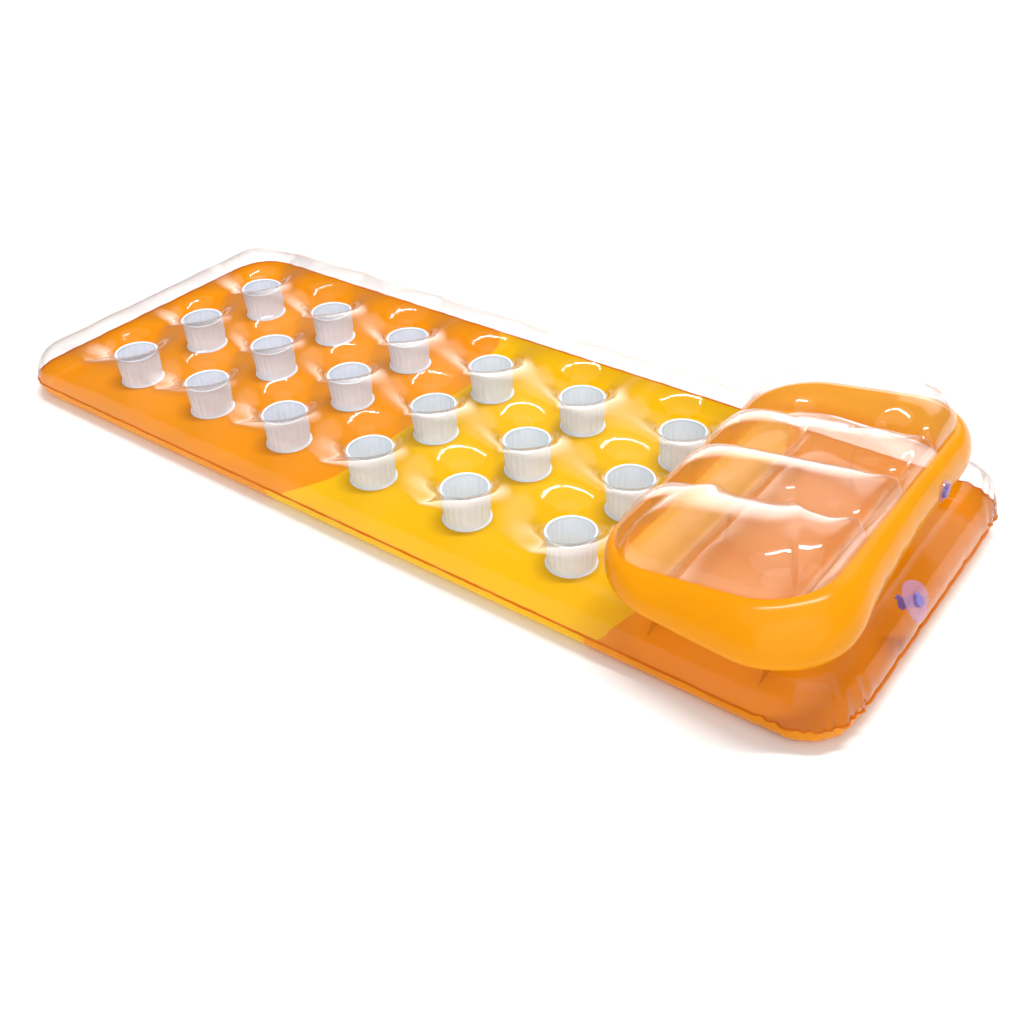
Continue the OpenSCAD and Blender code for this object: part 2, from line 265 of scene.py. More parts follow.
def crease_field(x, y):
    """Small creases that run out from each pocket, as an offset along the normal."""
    out = np.zeros_like(x)
    for (row, col), (cx, cy) in POCKETS.items():
        rng = np.random.default_rng(100 * row + col)
        rho = np.hypot(x - cx, y - cy) - RIM_R
        near = rho < 0.12
        angle = np.arctan2(y - cy, x - cx)
        total = np.zeros_like(x)
        for _ in range(CREASES):
            at = rng.uniform(-math.pi, math.pi)
            wide = rng.uniform(0.035, 0.09)
            size = rng.uniform(-1, 0.5)
            reach = rng.uniform(7, 24) * MM
            off = (angle - at + math.pi) % (2 * math.pi) - math.pi
            total += size * np.exp(-(off / wide) ** 2) * np.exp(-np.maximum(rho, 0) / reach)
        rise = smooth(rho / (5 * MM))
        out += np.where(near, CREASE_SIZE * total * rise, 0)
    return out


def waves(x, y, seed, length, size):
    """Broad shallow unevenness: a few sine waves in chosen directions."""
    rng = np.random.default_rng(seed)
    out = np.zeros_like(x)
    for _ in range(WAVE_COUNT):
        a = rng.uniform(0, math.pi)
        step = 2 * math.pi / (length * rng.uniform(0.7, 1.6))
        out += np.sin((x * math.cos(a) + y * math.sin(a)) * step + rng.uniform(0, PHASE))
    return out * size / math.sqrt(WAVE_COUNT)


def deck_waves(x, y):
    """The deck's unevenness, which fades out towards the seam."""
    return waves(x, y, 3, 0.16, 0.8 * MM) * smooth(inside(x, y) / (40 * MM))


def deck_plan(cell_nx, cell_ny, rings, head_nx, border):
    """Plan of the top sheet: polar patches round the pockets, a head block and a border."""
    hx, hy = PITCH_X / 2, PITCH_Y / 2
    left, low = COL_X[0] - hx, ROW_Y[0] - hy
    cell_x = [np.linspace(cx - hx, cx + hx, cell_nx + 1) for cx in COL_X]
    cell_y = [np.linspace(cy - hy, cy + hy, cell_ny + 1) for cy in ROW_Y]
    patches = []
    share = (np.arange(rings + 1) / rings) ** 1.25
    for i, cx in enumerate(COL_X):
        for j, cy in enumerate(ROW_Y):
            edge = loop_of(cell_x[i], cell_y[j])
            out = edge - (cx, cy)
            start = (cx, cy) + out / np.hypot(out[:, 0], out[:, 1])[:, None] * RIM_R
            grid = start[None] + (edge - start)[None] * share[:, None, None]
            patches.append((grid.reshape(-1, 2), strip_faces(rings + 1, len(edge), True)))
    ys = np.unique(np.round(np.concatenate(cell_y), 7))
    head = np.linspace(cell_x[-1][-1], -left, head_nx + 1)
    grid = np.stack(np.meshgrid(head, ys, indexing="ij"), -1).reshape(-1, 2)
    patches.append((grid, strip_faces(len(head), len(ys), False)))
    xs = np.unique(np.round(np.concatenate(cell_x + [head]), 7))
    inner = loop_of(xs, ys)
    ox, oy = rounded(inner[:, 0] * HALF_LEN / -left, inner[:, 1] * HALF_WID / -low,
                     HALF_LEN, HALF_WID, CORNER)
    outer = np.stack([ox, oy], 1)
    t = np.sin(np.arange(border + 1) / border * math.pi / 2)
    grid = inner[None] + (outer - inner)[None] * t[:, None, None]
    patches.append((grid.reshape(-1, 2), strip_faces(border + 1, len(inner), True)))
    plan, faces = joined(patches)
    return merged(plan, faces)


def build_top_sheet(material):
    """The clear quilted top of the mattress, with its creases and puckers."""
    plan, faces = deck_plan(36, 30, 20, 60, 18)
    x, y = plan[:, 0], plan[:, 1]
    points = np.column_stack([x, y, deck_height(x, y)])
    normals = normals_of(points, faces)
    if normals[:, 2].mean() < 0:
        faces = faces[:, ::-1]
        normals = -normals
    offset = crease_field(x, y) + deck_waves(x, y)
    points = points + normals * offset[:, None]
    points = puckered(points)
    return piece("top_sheet", points, faces, material,
                 replaces=["mattress_top_sheet"])


# ---- bottom sheet -------------------------------------------------------------------

JOIN_LINES = {"foot": (-128 * MM, -175 * MM), "head": (520 * MM, 505 * MM)}
TURN = 22 * MM                             # radius where the bottom sheet leaves the floor


def join_x(which, y):
    """X of the line where two panels meet: straight over the floor, bent at the sides."""
    middle, side = JOIN_LINES[which]
    return middle + (side - middle) * smooth((np.abs(y) - 0.20) / 0.13)


def build_bottom_panels(materials):
    """The tinted bottom of the mattress, as three panels that meet edge to edge."""
    inner_x, inner_y = HALF_LEN - 60 * MM, HALF_WID - 60 * MM
    left, mid, right = 60, 54, 30
    cuts = [-inner_x, JOIN_LINES["foot"][0], JOIN_LINES["head"][0], inner_x]
    xs = np.unique(np.concatenate([np.linspace(cuts[k], cuts[k + 1], n + 1)
                                   for k, n in enumerate((left, mid, right))]))
    ys = np.linspace(-inner_y, inner_y, 61)
    plan = np.stack(np.meshgrid(xs, ys, indexing="ij"), -1)
    flat = plan.reshape(-1, 2)
    inner = loop_of(xs, ys)
    ox, oy = rounded(inner[:, 0] * HALF_LEN / inner_x, inner[:, 1] * HALF_WID / inner_y,
                     HALF_LEN, HALF_WID, CORNER)
    outer = np.stack([ox, oy], 1)
    t = np.sin(np.arange(21) / 20 * math.pi / 2)
    ring = (inner[None] + (outer - inner)[None] * t[:, None, None]).reshape(-1, 2)
    points, faces = joined([(flat, strip_faces(len(xs), len(ys), False)),
                            (ring, strip_faces(21, len(inner), True))])
    # each point keeps the station of its own column, so that faces can be sorted by panel
    station = np.concatenate([flat[:, 0], np.tile(inner[:, 0], 21)])
    both, faces = merged(np.column_stack([points, station]), faces)
    x, y, station = both.T
    d = inside(x, y)
    for which in ("foot", "head"):
        middle = JOIN_LINES[which][0]
        along = middle * HALF_LEN / inner_x
        at = middle + (along - middle) * smooth((inner_y - np.abs(y)) / (inner_y - HALF_WID))
        near = np.exp(-((station - middle) / 0.09) ** 2)
        x = x + near * (join_x(which, y) - at)
    z = SEAM_Z * (1 - quarter_round(d / TURN)) + 0.9 * MM * quarter_round(d / TURN)
    z = z + np.maximum(waves(x, y, 11, 0.22, 0.5 * MM), -0.6 * MM) * smooth(d / 0.05)
    points = puckered(np.column_stack([x, y, z]), lift=0.25, reach_scale=0.35)
    normals = normals_of(points, faces)
    if normals[:, 2].mean() > 0:
        faces = faces[:, ::-1]
    column = station[faces].mean(1)
    made = []
    for name, low, high in (("foot", -9, cuts[1]), ("middle", cuts[1], cuts[2]),
                            ("head", cuts[2], 9)):
        mine = faces[(column > low) & (column < high)]
        used, back = np.unique(mine, return_inverse=True)
        made.append(piece(f"bottom_{name}", points[used], back.reshape(-1, 4),
                          materials[name],
                          replaces=[f"bottom_panel_{name}"]))
    return made


# ---- seam lip -----------------------------------------------------------------------

def outline(count):
    """Points and outward directions round the seam, evenly spaced."""
    straight_x, straight_y = 2 * (HALF_LEN - CORNER), 2 * (HALF_WID - CORNER)
    arc = CORNER * math.pi / 2
    total = 2 * (straight_x + straight_y) + 4 * arc
    cx, cy = HALF_LEN - CORNER, HALF_WID - CORNER
    s = np.arange(count) / count * total
    points, outs = np.zeros((count, 2)), np.zeros((count, 2))
    start, heading = 0.0, 0.0
    corner = ((cx, cy), (-cx, cy), (-cx, -cy), (cx, -cy))
    lengths = (straight_y, straight_x, straight_y, straight_x)
    for k in range(4):
        out = np.array([math.cos(heading), math.sin(heading)])
        go = np.array([-out[1], out[0]])
        base = np.array(corner[k]) + out * CORNER - go * lengths[k]
        on = (s >= start) & (s < start + lengths[k])
        points[on] = base + go * (s[on] - start)[:, None]
        outs[on] = out
        start += lengths[k]
        on = (s >= start) & (s < start + arc)
        a = heading + (s[on] - start) / CORNER
        outs[on] = np.stack([np.cos(a), np.sin(a)], 1)
        points[on] = np.array(corner[k]) + outs[on] * CORNER
        start += arc
        heading += math.pi / 2
    return points, outs, s


def build_seam_lip(material):
    """The welded lip round the mattress, drawn in at each pucker."""
    count = 1100
    at, out, s = outline(count)
    wave = 0.5 * MM * np.sin(s * 2 * math.pi / 0.11) + 0.35 * MM * np.sin(s * 2 * math.pi / 0.047)
    section = [(-1.5, 0.45), (0.3, 0.8), (2.2, 0.55), (2.9, 0.0), (2.2, -0.5), (0.3, -0.8),
               (-1.5, -0.45)]
    rings = []
    for outward, up in section:
        base = puckered(np.column_stack([at, np.full(count, SEAM_Z)]))
        base[:, :2] += out * outward * MM
        base[:, 2] += up * MM + wave * max(outward, 0) / 3
        rings.append(base)
    points = np.concatenate(rings)
    faces = strip_faces(len(section), count, True)
    return piece("seam_lip", points, faces, material)


# ---- pockets ------------------------------------------------------------------------

def build_pocket(row, col, material):
    """A pleated cup wall with a rolled rim and a weld ring on the floor."""
    rng = np.random.default_rng(31 * row + 7 * col)
    cx, cy = POCKETS[row, col]
    n = 132
    a = np.arange(n) / n * 2 * math.pi
    pleats = int(rng.integers(20, 24))
    drift = 0.5 * np.sin(a + rng.uniform(0, PHASE)) + 0.3 * np.sin(2 * a + rng.uniform(0, PHASE))
    fold = 1 - np.abs(np.sin(pleats / 2 * a + drift)) * 2
    strength = 0.75 + 0.25 * np.sin(3 * a + rng.uniform(0, PHASE))
    buckle = sum(np.sin(k * a + rng.uniform(0, PHASE)) for k in (2, 3, 5, 7)) / 4
    small = sum(np.sin(k * a + rng.uniform(0, PHASE)) for k in (17, 26, 33)) / 3
    top, low = RIM_Z - 2.2 * MM, 2.2 * MM
    rings = []

    def wall(share, inset):
        """A ring of the wall at a share of its height, inset from the outer face."""
        radius = BASE_R + (RIM_R - BASE_R) * share - inset
        bell = math.sin(math.pi * min(max(share, 0), 1)) ** 0.6
        radius = radius + bell * strength * fold * PLEAT_DEPTH
        radius = radius + bell * buckle * BUCKLE
        radius = radius + bell * small * RIPPLE * math.sin(9 * share + 1.3)
        z = low + (top - low) * share
        return ring(radius, np.full(n, z))

    def ring(radius, z):
        return np.column_stack([cx + radius * np.cos(a), cy + radius * np.sin(a), z])

    steps = 15
    base = [(BASE_R + 4 * MM, 1.3 * MM), (BASE_R + 3.9 * MM, 1.9 * MM), (BASE_R + 1 * MM, 2.1 * MM)]
    for radius, z in base:
        rings.append(ring(np.full(n, radius), np.full(n, z)))
    for k in range(steps + 1):
        rings.append(wall(k / steps, 0))
    tilt = 0.5 * MM * np.sin(2 * a + rng.uniform(0, PHASE))
    for turn in np.linspace(-30, 210, 9):
        t = math.radians(turn)
        radius = RIM_R - 1.1 * MM + 2.1 * MM * math.cos(t)
        z = RIM_Z - 0.6 * MM + 1.9 * MM * math.sin(t)
        rings.append(ring(np.full(n, radius), z + tilt))
    for k in range(steps, -1, -1):
        rings.append(wall(k / steps, 1.0 * MM))
    rings.append(ring(np.full(n, BASE_R - 5 * MM), np.full(n, 2.0 * MM)))
    rings.append(ring(np.full(n, BASE_R - 5.2 * MM), np.full(n, 1.3 * MM)))
    points = np.concatenate(rings)
    faces = strip_faces(len(rings), n, True)[:, ::-1]
    return piece(f"pocket_cup_{row}_{col}", points, faces, material,
                 replaces=[f"pocket_{row}_{col}"])


# ---- pillow -------------------------------------------------------------------------

base_low, base_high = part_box("pillow_base_sheet")
PILLOW_FRONT, PILLOW_BACK = base_low.x + 15 * MM, base_high.x + 8 * MM
PILLOW_B = (base_high.y - base_low.y) / 2
PILLOW_Z = DECK_Z + 1.5 * MM
TOP_FRONT, TOP_BACK = 488 * MM, 822 * MM   # top seam along X
FRONT_Z, BACK_Z = 152 * MM, 203 * MM       # height of the top seam, front and back
RIB_Y = (-0.118, 0.008, 0.130)             # where the ribs hold the top sheet down
ROLL_HEIGHTS = (61 * MM, 54 * MM, 54 * MM, 64 * MM)
RIB_HOLD = 21 * MM                         # height of a valley over the seam
PINCH = 11 * MM                            # how far a rib draws the front edge in
RIB_FRONT, RIB_END = 0.90, 0.80            # how far a rib reaches, front and back


def seam_height(x):
    """Height of the pillow's top seam."""
    return FRONT_Z + (BACK_Z - FRONT_Z) * (x - TOP_FRONT) / (TOP_BACK - TOP_FRONT)


def pillow_plan(u, v, front, back, front_corner, back_corner):
    """Plan point for square coordinates from -1 to 1, in a rectangle with round corners."""
    size = np.maximum(np.maximum(np.abs(u), np.abs(v)), 1e-9)
    half = (back - front) / 2
    px, py = u / size * half, v / size * PILLOW_B
    fx, fy = rounded(px, py, half, PILLOW_B, front_corner)
    bx, by = rounded(px, py, half, PILLOW_B, back_corner)
    ex, ey = np.where(u < 0, fx, bx), np.where(u < 0, fy, by)
    return (front + back) / 2 + ex * size, ey * size


def base_plan(u, v):
    return pillow_plan(u, v, PILLOW_FRONT, PILLOW_BACK, 115 * MM, 75 * MM)


def top_plan(u, v):
    """Plan of the top sheet. Its front edge is pinched in at the ribs."""
    x, y = pillow_plan(u, v, TOP_FRONT, TOP_BACK, 95 * MM, 100 * MM)
    front = smooth((-u - 0.7) / 0.3) * (np.abs(v) < 0.8)
    for rib in RIB_Y:
        x = x + PINCH * front * np.exp(-((y - rib) / (10 * MM)) ** 2)
    return x, y


def build_pillow_wall(material):
    """The tinted side wall of the pillow, low at the front and high at the back."""
    loop = loop_of(np.linspace(-1, 1, 101), np.linspace(-1, 1, 141))
    u, v = loop[:, 0], loop[:, 1]
    bx, by = base_plan(u, v)
    tx, ty = top_plan(u, v)
    tz = seam_height(tx)
    n = len(u)
    mx, my = (bx + tx) / 2, (by + ty) / 2
    step = np.column_stack([np.roll(mx, -2) - np.roll(mx, 2), np.roll(my, -2) - np.roll(my, 2)])
    out = np.column_stack([step[:, 1], -step[:, 0]])
    out /= np.linalg.norm(out, axis=1)[:, None]
    near = smooth((-my - 0.10) / 0.15)
    low = 1 + 0.75 * np.maximum(near, 0.6 * smooth((out[:, 0] - 0.1) / 0.5))
    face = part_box("pillow_valve_disc")[1].x
    back = smooth((my + 0.26) / 0.34) * smooth((out[:, 0] + 0.10) / 0.9)
    half = (tz - PILLOW_Z) / 2
    full = half * (1.05 + 0.22 * near - 0.35 * smooth(-out[:, 0] - 0.2))
    at_valve = face - (PILLOW_BACK + TOP_BACK) / 2
    bulge = full + (at_valve - full) * back
    steps = 28
    rings = []
    for k in range(steps + 1):
        a = math.pi * (k / steps - 0.5)
        s = ((1 + math.sin(a)) / 2) ** low
        push = bulge * math.cos(a)
        x = bx + (tx - bx) * s + out[:, 0] * push
        y = by + (ty - by) * s + out[:, 1] * push
        z = PILLOW_Z + (tz - PILLOW_Z) * s
        crease = waves(x, y, 21, 0.07, 0.35 * MM) * math.cos(a)
        rings.append(np.column_stack([x + out[:, 0] * crease, y + out[:, 1] * crease, z]))
    points = np.concatenate(rings)
    faces = strip_faces(steps + 1, n, True)[:, ::-1]
    return piece("pillow_side_wall", points, faces, material,
                 replaces=["pillow_wall"])


ROLL_EDGES = np.array([-PILLOW_B, *RIB_Y, PILLOW_B]) / PILLOW_B


def quilt(u, v):
    """Height of the pillow's top over its seam: four rolls, with the ribs between them."""
    which = np.clip(np.searchsorted(ROLL_EDGES, v, side="right") - 1, 0, 3)
    low, high = ROLL_EDGES[which], ROLL_EDGES[which + 1]
    across = 2 * (v - low) / (high - low) - 1
    height = np.array(ROLL_HEIGHTS)[which]
    roll = np.sqrt(np.maximum(1 - across ** 2, 0))
    rise = np.sqrt(np.maximum(1 - np.abs(u) ** 6, 0))
    reach = np.where(u < 0, RIB_FRONT, RIB_END)
    free = smooth((np.abs(u) - reach + 0.12) / 0.22)
    edge = 1 - np.abs(v) ** 10
    valley = (RIB_HOLD + (height * 0.72 - RIB_HOLD) * free * (u > 0)) * edge
    return rise * (valley + (height - valley) * roll)


def build_pillow_top(material):
    """The clear top of the pillow, in four rolls."""
    us = np.sin(np.linspace(-1, 1, 65) * math.pi / 2)
    lane = np.sin(np.linspace(-1, 1, 23) * math.pi / 2)
    lanes = [low + (high - low) * (lane + 1) / 2
             for low, high in zip(ROLL_EDGES[:-1], ROLL_EDGES[1:])]
    vs = np.unique(np.round(np.concatenate(lanes), 7))
    vs = vs[np.concatenate([[True], np.diff(vs) > 1e-5])]
    u, v = (g.reshape(-1) for g in np.meshgrid(us, vs, indexing="ij"))
    x, y = top_plan(u, v)
    points = np.column_stack([x, y, seam_height(x) + quilt(u, v)])
    faces = strip_faces(len(us), len(vs), False)
    normals = normals_of(points, faces)
    if normals[:, 2].mean() < 0:
        faces = faces[:, ::-1]
        normals = -normals
    inner = smooth((1 - np.maximum(np.abs(u), np.abs(v))) / 0.12)
    points = points + normals * (waves(x, y, 5, 0.16, 0.45 * MM) * inner)[:, None]
    return piece("pillow_top", points, faces, material,
                 replaces=["pillow_top_sheet"])


def on_deck(x, y, over):
    """Points that lie on the deck, a little above it."""
    return np.column_stack([x, y, deck_height(x, y) + deck_waves(x, y) + over])


def build_pillow_base(material):
    """The hazy sheet that joins the pillow to the deck."""
    us = np.linspace(-1, 1, 61)
    vs = np.linspace(-1, 1, 91)
    u, v = (g.reshape(-1) for g in np.meshgrid(us, vs, indexing="ij"))
    x, y = base_plan(u, v)
    faces = strip_faces(len(us), len(vs), False)
    return piece("pillow_base", on_deck(x, y, 1.5 * MM), faces, material,
                 replaces=["pillow_base_sheet"])


def build_rib(name, y_line, material):
    """A rib under a valley of the pillow's top: its free ends are cut to a curve."""
    us = np.linspace(-RIB_FRONT, RIB_END, 45)
    v = np.full_like(us, y_line / PILLOW_B)
    x, y = top_plan(us, v)
    top = seam_height(x) + quilt(us, v) - 0.5 * MM
    rows = []
    for s in np.linspace(0, 1, 11):
        mid = x.mean()
        px = mid + (x - mid) * (1 - 0.14 * math.sin(math.pi * s))
        sway = 1.2 * MM * np.sin(px * 90) * math.sin(math.pi * s)
        foot = on_deck(px, y, 2 * MM)[:, 2]
        rows.append(np.column_stack([px, y + sway, foot + (top - foot) * s]))
    faces = strip_faces(11, len(us), False)
    return piece(f"{name}_film", np.concatenate(rows), faces, material,
                 replaces=[name])


def build_web(name, wx, material):
    """A web between the deck and the bottom sheet, narrower at mid height."""
    ys = np.linspace(-WEB_HALF, WEB_HALF, 81)
    top = deck_height(np.full_like(ys, wx), ys) - 0.6 * MM
    levels = np.linspace(0, 1, 9)
    rows = []
    for s in levels:
        slack = 1 - 0.10 * math.sin(math.pi * s)
        py = ys * slack
        sway = 1.5 * MM * np.sin(py * 55) * math.sin(math.pi * s)
        rows.append(np.column_stack([wx + sway, py, 2 * MM + (top - 2 * MM) * s]))
    points = np.concatenate(rows)
    faces = strip_faces(len(levels), len(ys), False)
    return piece(f"{name}_film", points, faces, material, replaces=[name])


def build_web_weld(name, wx, material):
    """The welded strip where a web meets the top sheet."""
    ys = np.linspace(-WEB_HALF, WEB_HALF, 81)
    rows = [on_deck(np.full_like(ys, wx + side * MM), ys, 0.8 * MM) for side in (-3.5, -1, 1, 3.5)]
    faces = strip_faces(len(rows), len(ys), False)
    return piece(f"{name}_weld", np.concatenate(rows), faces, material)


# ---- materials ----------------------------------------------------------------------

CLEAR_GLOSS, TINTED_GLOSS = 0.75, 0.6      # share of light a film reflects at its edges
GLOSS_POWER = 4.5                          # how sharply the gloss rises towards the edges
BUMP_SIZE = 0.25
BUMP_DEPTH = 0.0012
SHADE = 0.955                              # darkest patches of a tinted film
PAINTED_GLOW_COLOUR = (0.50, 0.75, 1.0)            # painted glow: light the pockets' milky film gives off, though it is no lamp


class Tree:
    """Builds one material's node tree."""

    def __init__(self, name):
        self.material = bpy.data.materials.new(name)
        self.material.use_nodes = True
        self.tree = self.material.node_tree
        self.tree.nodes.clear()
        self.out = self.node("ShaderNodeOutputMaterial")

    def node(self, kind, **values):
        made = self.tree.nodes.new(kind)
        for key, value in values.items():
            if key in made.inputs.keys():
                made.inputs[key].default_value = value
            else:
                setattr(made, key, value)
        return made

    def link(self, a, out_name, b, in_name):
        self.tree.links.new(a.outputs[out_name], b.inputs[in_name])

    def noise(self, scale, detail=3.0, rough=0.5):
        place = self.node("ShaderNodeTexCoord")
        made = self.node("ShaderNodeTexNoise", Scale=scale, Detail=detail, Roughness=rough)
        self.link(place, "Object", made, "Vector")
        return made

    def bump(self, source, strength, distance, before=None):
        made = self.node("ShaderNodeBump", Strength=strength, Distance=distance)
        self.tree.links.new(source.outputs[0], made.inputs["Height"])
        if before:
            self.link(before, "Normal", made, "Normal")
        return made

    def mix(self, first, second, factor=None, source=None):
        made = self.node("ShaderNodeMixShader")
        self.tree.links.new(first.outputs[0], made.inputs[1])
        self.tree.links.new(second.outputs[0], made.inputs[2])
        if source is not None:
            self.tree.links.new(source, made.inputs[0])
        else:
            made.inputs[0].default_value = factor
        return made

    def done(self, shader):
        self.tree.links.new(shader.outputs[0], self.out.inputs["Surface"])
        return self.material


def gloss_share(tree, low, high, power):
    """Share of light that a thin film reflects: low face on, high at a grazing angle."""
    facing = tree.node("ShaderNodeLayerWeight", Blend=0.5)
    curve = tree.node("ShaderNodeMath", operation="POWER")
    tree.tree.links.new(facing.outputs["Facing"], curve.inputs[0])
    curve.inputs[1].default_value = power
    scaled = tree.node("ShaderNodeMath", operation="MULTIPLY_ADD")
    tree.tree.links.new(curve.outputs[0], scaled.inputs[0])
    scaled.inputs[1].default_value = high - low
    scaled.inputs[2].default_value = low
    return scaled.outputs[0]


def clear_film(name, tint, haze, edge=(0.60, 0.55, 0.535), haze_and_bounce_colour=(0.95, 0.93, 0.92),
               low=0.02, power=GLOSS_POWER, roughness=0.05):
    """Clear vinyl: see-through face on, duller at its edges, with some haze and a gloss. A tinted
    haze colour paints in light bounced on to the film.
    """
    tree = Tree(name)
    fine = tree.noise(55.0, 4.0, 0.55)
    bump = tree.bump(fine, BUMP_SIZE, BUMP_DEPTH)
    gloss = tree.node("ShaderNodeBsdfGlossy", Color=(1, 1, 1, 1), Roughness=roughness)
    tree.link(bump, "Normal", gloss, "Normal")
    facing = tree.node("ShaderNodeLayerWeight", Blend=0.5)
    dim = tree.node("ShaderNodeMapRange")
    tree.link(facing, "Facing", dim, "Value")
    dim.inputs["From Min"].default_value = 0.35
    dim.inputs["From Max"].default_value = 1.0
    dim.inputs["To Min"].default_value = 0.0
    dim.inputs["To Max"].default_value = 1.0
    colour = tree.node("ShaderNodeMix", data_type="RGBA")
    tree.tree.links.new(dim.outputs["Result"], colour.inputs["Factor"])
    a = [s for s in colour.inputs if s.name == "A" and s.type == "RGBA"][0]
    b = [s for s in colour.inputs if s.name == "B" and s.type == "RGBA"][0]
    a.default_value = (*tint, 1)
    b.default_value = (*edge, 1)
    clear = tree.node("ShaderNodeBsdfTransparent")
    result = [s for s in colour.outputs if s.type == "RGBA"][0]
    tree.tree.links.new(result, clear.inputs["Color"])
    haze_and_bounce = tree.mix(tree.node("ShaderNodeBsdfDiffuse", Color=(*haze_and_bounce_colour, 1)),
                    tree.node("ShaderNodeBsdfTranslucent", Color=(*haze_and_bounce_colour, 1)),
                    factor=0.5)
    clear = tree.mix(clear, haze_and_bounce, factor=haze)
    share = gloss_share(tree, low, CLEAR_GLOSS, power)
    return tree.done(tree.mix(clear, gloss, source=share))


def tinted_film(name, colour, clear_share=0.06, soft=0.35, roughness=0.16, low=0.012, glow=0.0):
    """Coloured vinyl: diffuse and translucent, with a little see-through and a gloss, and a painted
    glow where glow is set.
    """
    tree = Tree(name)
    broad = tree.noise(7.0, 2.0)
    ramp = tree.node("ShaderNodeValToRGB")
    tree.tree.links.new(broad.outputs[0], ramp.inputs[0])
    ramp.color_ramp.elements[0].position = 0.35
    ramp.color_ramp.elements[1].position = 0.65
    ramp.color_ramp.elements[0].color = (*[c * SHADE for c in colour], 1)
    ramp.color_ramp.elements[1].color = (*colour, 1)
    fine = tree.noise(38.0, 4.0, 0.55)
    bump = tree.bump(fine, BUMP_SIZE, BUMP_DEPTH)
    diffuse = tree.node("ShaderNodeBsdfDiffuse")
    through = tree.node("ShaderNodeBsdfTranslucent")
    tree.link(ramp, "Color", diffuse, "Color")
    tree.link(ramp, "Color", through, "Color")
    body = tree.mix(diffuse, through, factor=soft)
    clear = tree.node("ShaderNodeBsdfTransparent", Color=(*colour, 1))
    body = tree.mix(body, clear, factor=clear_share)
    gloss = tree.node("ShaderNodeBsdfGlossy", Color=(1, 1, 1, 1), Roughness=roughness)
    tree.link(bump, "Normal", gloss, "Normal")
    # painted glow: an emission that lightens the film, which is no lamp
    if glow:
        light = tree.node("ShaderNodeEmission", Color=(*PAINTED_GLOW_COLOUR, 1), Strength=glow)
        both = tree.node("ShaderNodeAddShader")
        tree.tree.links.new(body.outputs[0], both.inputs[0])
        tree.tree.links.new(light.outputs[0], both.inputs[1])
        body = both
    share = gloss_share(tree, low, TINTED_GLOSS, GLOSS_POWER)
    return tree.done(tree.mix(body, gloss, source=share))


ORANGE = (0.85, 0.325, 0.001)
YELLOW = (0.88, 0.53, 0.001)
WHITE = (0.87, 0.93, 1.0)
LILAC = (0.50, 0.42, 0.80)
WALL_ORANGE = (0.86, 0.40, 0.004)
SEAM_ORANGE = (0.72, 0.20, 0.006)
DISC_VIOLET = (0.86, 0.70, 0.92)
PILLOW_EDGE = (0.86, 0.80, 0.78)           # clear pillow film at a grazing angle

film = clear_film("clear_film", (0.975, 0.97, 0.967), haze=0.0)
pillow_film = clear_film("pillow_clear_film", (0.975, 0.965, 0.96), haze=0.03,
                         edge=PILLOW_EDGE, low=0.032, power=3.4)
# the base film's haze is its own, but its orange colour is painted light: it stands in for orange
# light bounced off the pillow's walls inside
base_film = clear_film("pillow_base_film", (0.97, 0.95, 0.93), haze=0.42,
                       edge=PILLOW_EDGE, haze_and_bounce_colour=(1.0, 0.52, 0.17))
weld_film = clear_film("weld_film", (0.97, 0.95, 0.94), haze=0.16, low=0.04)
orange_film = tinted_film("orange_film", ORANGE)
yellow_film = tinted_film("yellow_film", YELLOW)
wall_film = tinted_film("pillow_wall_film", WALL_ORANGE, clear_share=0.10, soft=0.45)
# the pockets' film carries a painted glow that whitens it
white_film = tinted_film("white_film", WHITE, clear_share=0.03, soft=0.3, roughness=0.25,
                         low=0.03, glow=0.06)
lip_film = tinted_film("seam_film", SEAM_ORANGE, clear_share=0.05, roughness=0.12)
valve_vinyl = tinted_film("valve_vinyl", LILAC, clear_share=0.40, soft=0.4, roughness=0.1)
disc_vinyl = tinted_film("valve_disc_vinyl", DISC_VIOLET, clear_share=0.72, soft=0.4,
                         roughness=0.08, low=0.03)


# ---- build --------------------------------------------------------------------------

build_top_sheet(film)
build_bottom_panels({"foot": orange_film, "middle": yellow_film, "head": orange_film})
build_seam_lip(lip_film)
for r in ROWS:
    for c in COLS:
        build_pocket(r, c, white_film)
build_pillow_wall(wall_film)
build_pillow_top(pillow_film)
build_pillow_base(base_film)
for rib, y_line in zip(("pillow_rib_near", "pillow_rib_centre", "pillow_rib_far"), RIB_Y):
    build_rib(rib, y_line, film)
for web, wx in zip(("web_front", "web_back"), WEB_X):
    build_web(web, wx, film)
    build_web_weld(web, wx, weld_film)

for name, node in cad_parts.items():
    if "valve" in name:
        node.data.materials.clear()
        node.data.materials.append(disc_vinyl if "disc" in name else valve_vinyl)


# ---- floor, light and camera --------------------------------------------------------

FLOOR_HALF = 30.0
FLOOR_DROP = 0.0006                        # keeps the floor clear of the film that rests on it
FLOOR_GREY = 0.76
STUDIO_LEVEL = 0.30                        # even light from all round
# soft glows: azimuth from +X towards +Y, elevation, half width (degrees), strength
GLOWS = ((122, 8, 27, 4.4), (96, 34, 26, 2.2))
OVERHEAD_AT = (0.40, 1.60, 8.0)
OVERHEAD_SIZE = (5.4, 0.5)
OVERHEAD_WATTS = 560
OVERHEAD_TURN = 50
CAMERA_AT = (1.2313, -1.3900, 1.2099)
CAMERA_TARGET = (0.2159, -0.1242, 0.0)
CAMERA_ROLL = 2.99                         # degrees
CAMERA_LENS = 40.93                        # millimetres, on a sensor 36 mm wide


